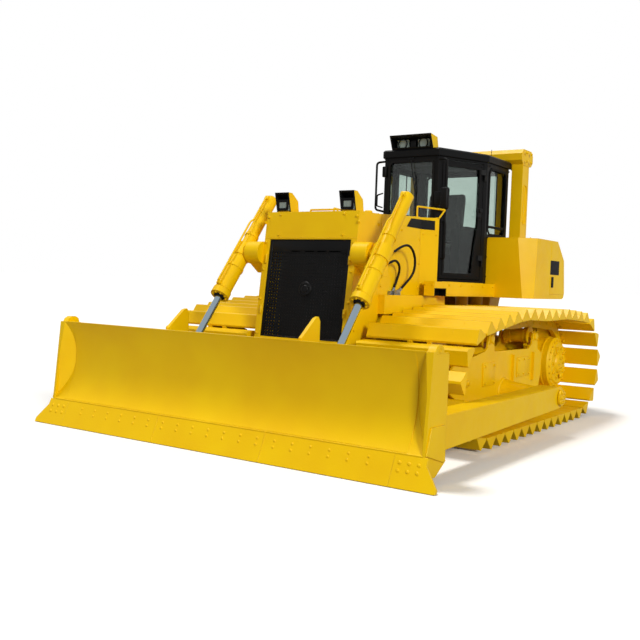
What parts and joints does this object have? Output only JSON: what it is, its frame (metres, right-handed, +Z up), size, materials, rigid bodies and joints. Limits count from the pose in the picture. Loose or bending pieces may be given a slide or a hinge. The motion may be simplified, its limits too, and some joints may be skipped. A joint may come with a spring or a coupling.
{
  "type": "crawler bulldozer",
  "caption": "Wide-track crawler bulldozer with a straight lifting blade on push arms, twin lift cylinders, glazed cab with doors, and roll-over frame.",
  "frame": {"origin": "on the ground under the middle of the overall length, on the centre plane", "axes": "-Y forward over the blade, +X to the machine left, +Z up"},
  "size_m": [4.15, 5.3999, 3.06],
  "materials": {
    "yellow_paint": "gloss enamel",
    "black_paint": "satin powder coat",
    "engine_paint": "painted casting",
    "chrome_rod": "hard chrome",
    "tinted_glass": "polished",
    "lamp_glass": "polished",
    "seat_cloth": "woven",
    "cab_plastic": "moulded",
    "hose_rubber": "matte",
    "fitting_steel": "plated"
  },
  "bodies": {
    "machine": {"cab_frame": "black_paint", "cab_roof": "black_paint", "consoles": "cab_plastic", "cowl": "yellow_paint", "dash": "cab_plastic", "drawbar": "yellow_paint", "engine_block": "engine_paint", "equalizer_bar": "yellow_paint", "fuel_tank": "yellow_paint", "grille": "black_paint", "hood": "yellow_paint", "hood_sides": "yellow_paint", "hose_fittings": "fitting_steel", "hose_inner_l": "hose_rubber", "hose_inner_r": "hose_rubber", "hose_outer_l": "hose_rubber", "hose_outer_r": "hose_rubber", "idlers": "yellow_paint", "lamp_boxes": "yellow_paint", "lamps": "lamp_glass", "lift_yokes": "yellow_paint", "main_frame": "yellow_paint", "platform": "yellow_paint", "radiator_core": "black_paint", "radiator_guard": "yellow_paint", "rear_glass": "tinted_glass", "roof_lamp_box": "yellow_paint", "rops": "yellow_paint", "seat_back": "seat_cloth", "seat_cushion": "seat_cloth", "seat_frame": "cab_plastic", "side_boxes": "yellow_paint", "side_glass": "tinted_glass", "sprockets": "yellow_paint", "track_frame_l": "yellow_paint", "track_frame_r": "yellow_paint", "track_l": "yellow_paint", "track_r": "yellow_paint", "track_rollers_l": "yellow_paint", "track_rollers_r": "yellow_paint", "windscreen": "tinted_glass"},
    "blade": {"blade_brackets": "yellow_paint", "blade_ends": "yellow_paint", "cutting_edge": "yellow_paint", "end_bits": "yellow_paint", "mouldboard": "yellow_paint", "push_arm_l": "yellow_paint", "push_arm_r": "yellow_paint"},
    "barrel_left": {"lift_barrel_l": "yellow_paint"},
    "barrel_right": {"lift_barrel_r": "yellow_paint"},
    "rod_left": {"lift_rod_l": "chrome_rod"},
    "rod_right": {"lift_rod_r": "chrome_rod"},
    "door_left": {"door_l": "black_paint", "door_glass_l": "tinted_glass"},
    "door_right": {"door_r": "black_paint", "door_glass_r": "tinted_glass"},
    "fan": {"fan": "black_paint"}
  },
  "joints": [
    {"name": "blade_lift", "type": "hinge", "parent": "machine", "child": "blade", "pos_m": [0, 0.235, 0.378], "axis": [-1, 0, 0], "range_deg": [-8, 20]},
    {"name": "barrel_swing_left", "type": "hinge", "parent": "machine", "child": "barrel_left", "pos_m": [0.778, -1.3, 1.66], "axis": [-1, 0, 0], "range_deg": [-9.1, 22.7]},
    {"name": "rod_travel_left", "type": "slide", "parent": "barrel_left", "child": "rod_left", "axis": [0, -0.6149, -0.7886], "range_m": [-0.69, 0.278]},
    {"name": "barrel_swing_right", "type": "hinge", "parent": "machine", "child": "barrel_right", "pos_m": [-0.778, -1.3, 1.66], "axis": [-1, 0, 0], "range_deg": [-9.1, 22.7]},
    {"name": "rod_travel_right", "type": "slide", "parent": "barrel_right", "child": "rod_right", "axis": [0, -0.6149, -0.7886], "range_m": [-0.69, 0.278]},
    {"name": "door_swing_left", "type": "hinge", "parent": "machine", "child": "door_left", "pos_m": [0.60402, 1.24874, 2.1], "axis": [0, 0, 1], "range_deg": [0, 100]},
    {"name": "door_swing_right", "type": "hinge", "parent": "machine", "child": "door_right", "pos_m": [-0.60402, 1.24874, 2.1], "axis": [0, 0, -1], "range_deg": [0, 100]},
    {"name": "fan_spin", "type": "hinge", "parent": "machine", "child": "fan", "pos_m": [0, -1.17, 1.33], "axis": [0, -1, 0], "continuous": true}
  ],
  "couplings": [
    {"joint": "barrel_swing_left", "follows": "blade_lift", "ratio": 1.13},
    {"joint": "rod_travel_left", "follows": "blade_lift", "m_per_rad": -1.97},
    {"joint": "barrel_swing_right", "follows": "blade_lift", "ratio": 1.13},
    {"joint": "rod_travel_right", "follows": "blade_lift", "m_per_rad": -1.97}
  ]
}
